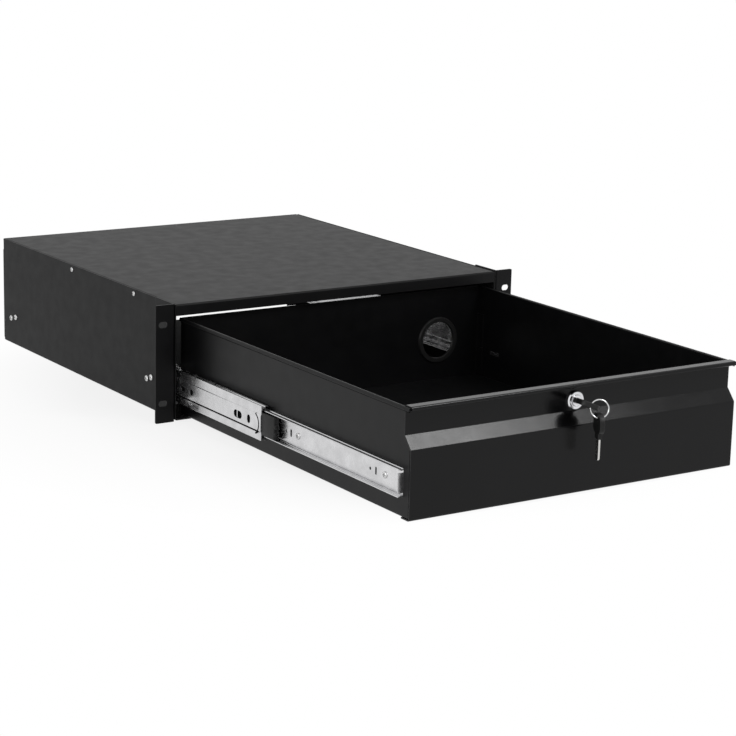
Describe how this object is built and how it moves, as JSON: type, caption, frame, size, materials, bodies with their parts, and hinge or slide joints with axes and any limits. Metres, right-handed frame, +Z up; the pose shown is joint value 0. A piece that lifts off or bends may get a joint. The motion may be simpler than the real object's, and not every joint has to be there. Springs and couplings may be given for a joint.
{
  "type": "sliding rack drawer",
  "caption": "Lockable steel storage drawer on ball-bearing telescopic slides, in a housing with slotted ears for a 19-inch rack.",
  "frame": {"origin": "centre of the rack bolt pattern, on the rear faces of the rack ears", "axes": "+Y to the back of the rack, out of the ears' rear faces; +Z up; +X to the right seen from the front"},
  "size_m": [0.4826, 0.9311, 0.133],
  "materials": {
    "housing_paint": "satin black paint",
    "front_paint": "fine textured black powder coat",
    "tray_paint": "satin black paint",
    "slide_zinc": "bright zinc plate",
    "ball_steel": "polished",
    "black_plastic": "moulded, satin",
    "screw_zinc": "zinc plate",
    "lock_chrome": "polished chrome",
    "lock_steel": "zinc plate",
    "key_steel": "nickel plate",
    "ring_steel": "nickel plate"
  },
  "bodies": {
    "housing": {"chassis": "housing_paint", "top_cover": "housing_paint", "left_ear": "housing_paint", "right_ear": "housing_paint", "cover_screws": "screw_zinc", "slide_fixing_screws": "screw_zinc", "lock_strike": "housing_paint", "left_outer_member": "slide_zinc", "right_outer_member": "slide_zinc", "left_rear_bumper": "black_plastic", "right_rear_bumper": "black_plastic"},
    "drawer": {"drawer_front": "front_paint", "drawer_tray": "tray_paint", "drawer_back": "tray_paint", "cable_grommet": "black_plastic", "left_inner_member": "slide_zinc", "right_inner_member": "slide_zinc", "drawer_slide_screws": "screw_zinc", "lock_body": "lock_chrome", "lock_nut": "lock_steel"},
    "left_middle": {"left_middle_member": "slide_zinc", "left_front_bumper": "black_plastic"},
    "right_middle": {"right_middle_member": "slide_zinc", "right_front_bumper": "black_plastic"},
    "left_outer_cage": {"left_outer_cage": "slide_zinc", "left_outer_balls": "ball_steel"},
    "right_outer_cage": {"right_outer_cage": "slide_zinc", "right_outer_balls": "ball_steel"},
    "left_inner_cage": {"left_inner_cage": "slide_zinc", "left_inner_balls": "ball_steel"},
    "right_inner_cage": {"right_inner_cage": "slide_zinc", "right_inner_balls": "ball_steel"},
    "lock": {"lock_plug": "lock_chrome", "lock_cam": "lock_steel", "cam_screw": "screw_zinc"},
    "key": {"key_blade": "key_steel", "key_bow": "black_plastic"},
    "key_ring": {"key_ring": "ring_steel"},
    "spare_key": {"spare_key_blade": "key_steel", "spare_key_bow": "black_plastic"}
  },
  "joints": [
    {"name": "drawer_slide", "type": "slide", "parent": "housing", "child": "drawer", "axis": [0, 1, 0], "range_m": [0, 0.441]},
    {"name": "left_middle_slide", "type": "slide", "parent": "housing", "child": "left_middle", "axis": [0, 1, 0], "range_m": [0, 0.2205]},
    {"name": "left_outer_cage_slide", "type": "slide", "parent": "housing", "child": "left_outer_cage", "axis": [0, 1, 0], "range_m": [0, 0.11025]},
    {"name": "left_inner_cage_slide", "type": "slide", "parent": "housing", "child": "left_inner_cage", "axis": [0, 1, 0], "range_m": [0, 0.33075]},
    {"name": "right_middle_slide", "type": "slide", "parent": "housing", "child": "right_middle", "axis": [0, 1, 0], "range_m": [0, 0.2205]},
    {"name": "right_outer_cage_slide", "type": "slide", "parent": "housing", "child": "right_outer_cage", "axis": [0, 1, 0], "range_m": [0, 0.11025]},
    {"name": "right_inner_cage_slide", "type": "slide", "parent": "housing", "child": "right_inner_cage", "axis": [0, 1, 0], "range_m": [0, 0.33075]},
    {"name": "lock_turn", "type": "hinge", "parent": "drawer", "child": "lock", "pos_m": [0, -0.42, 0.0296], "axis": [0, 1, 0], "range_deg": [0, 90]},
    {"name": "key_pull", "type": "slide", "parent": "lock", "child": "key", "axis": [0, -1, 0], "range_m": [0, 0.023]},
    {"name": "ring_swing", "type": "hinge", "parent": "key", "child": "key_ring", "pos_m": [0, -0.4576, 0.0296], "axis": [0.3955, 0, 0.9184], "range_deg": [-60, 5]},
    {"name": "spare_key_swing", "type": "hinge", "parent": "key_ring", "child": "spare_key", "pos_m": [0.00562, -0.4646, 0.01788], "axis": [0.9318, -0.363, 0], "range_deg": [-45, 5]}
  ],
  "couplings": [
    {"joint": "left_middle_slide", "follows": "drawer_slide", "ratio": 0.5},
    {"joint": "left_outer_cage_slide", "follows": "drawer_slide", "ratio": 0.25},
    {"joint": "left_inner_cage_slide", "follows": "drawer_slide", "ratio": 0.75},
    {"joint": "right_middle_slide", "follows": "drawer_slide", "ratio": 0.5},
    {"joint": "right_outer_cage_slide", "follows": "drawer_slide", "ratio": 0.25},
    {"joint": "right_inner_cage_slide", "follows": "drawer_slide", "ratio": 0.75}
  ]
}
